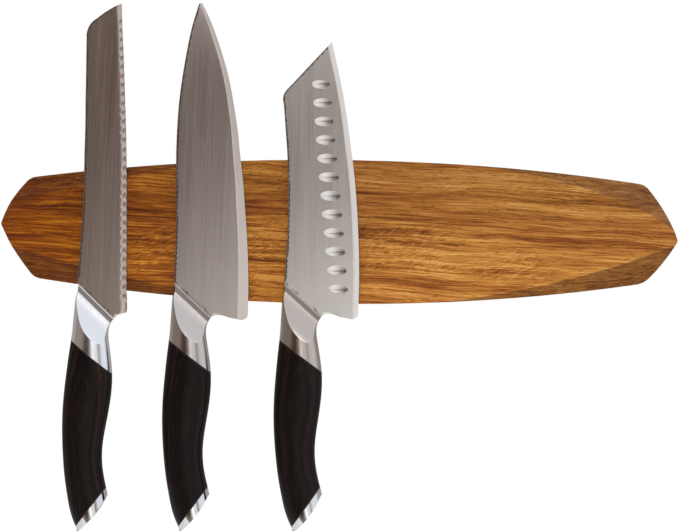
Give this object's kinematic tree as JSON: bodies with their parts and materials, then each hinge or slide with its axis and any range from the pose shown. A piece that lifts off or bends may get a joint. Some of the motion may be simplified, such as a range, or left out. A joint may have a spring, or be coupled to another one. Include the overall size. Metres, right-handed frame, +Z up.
{
  "type": "magnetic knife rail with knives",
  "caption": "Wall-mounted wooden magnetic knife rail with ground facets, holding a bread knife, a chef's knife and a dimpled santoku tip up, handles hanging below.",
  "frame": {"origin": "centre of the rail's flat back face, midway between its two keyhole hangers", "axes": "+Z up, the way the knife points stand; +Y into the wall; +X along the rail, to the right of someone facing it"},
  "size_m": [0.4353, 0.0378, 0.3414],
  "materials": {
    "acacia_wood": "oiled, satin, strongly figured",
    "backing_wood": "oiled, plain grain",
    "nickel_magnet": "nickel plated",
    "keeper_steel": "bright rolled",
    "hanger_steel": "zinc plated",
    "screw_steel": "zinc plated",
    "blade_steel": "fine lengthwise brushed",
    "polished_steel": "mirror polished",
    "black_fibre": "matt",
    "pakkawood": "dark stabilised wood, satin"
  },
  "bodies": {
    "rail": {"rail_body": "acacia_wood", "magnets": "nickel_magnet", "keeper_bar": "keeper_steel", "back_cover_strip": "backing_wood", "keyhole_plate_left": "hanger_steel", "keyhole_plate_right": "hanger_steel", "keyhole_plate_screws": "screw_steel"},
    "bread_knife": {"bread_blade": "blade_steel", "bread_bolster": "polished_steel", "bread_front_spacer": "black_fibre", "bread_handle": "pakkawood", "bread_rear_spacer": "black_fibre", "bread_end_cap": "polished_steel"},
    "chef_knife": {"chef_blade": "blade_steel", "chef_bolster": "polished_steel", "chef_front_spacer": "black_fibre", "chef_handle": "pakkawood", "chef_rear_spacer": "black_fibre", "chef_end_cap": "polished_steel"},
    "santoku_knife": {"santoku_blade": "blade_steel", "santoku_bolster": "polished_steel", "santoku_front_spacer": "black_fibre", "santoku_handle": "pakkawood", "santoku_rear_spacer": "black_fibre", "santoku_end_cap": "polished_steel"}
  },
  "joints": [
    {"name": "bread_knife_pull", "type": "slide", "parent": "rail", "child": "bread_knife", "axis": [0, -1, 0], "range_m": [0, 0.12]},
    {"name": "chef_knife_pull", "type": "slide", "parent": "rail", "child": "chef_knife", "axis": [0, -1, 0], "range_m": [0, 0.12]},
    {"name": "santoku_knife_pull", "type": "slide", "parent": "rail", "child": "santoku_knife", "axis": [0, -1, 0], "range_m": [0, 0.12]}
  ]
}
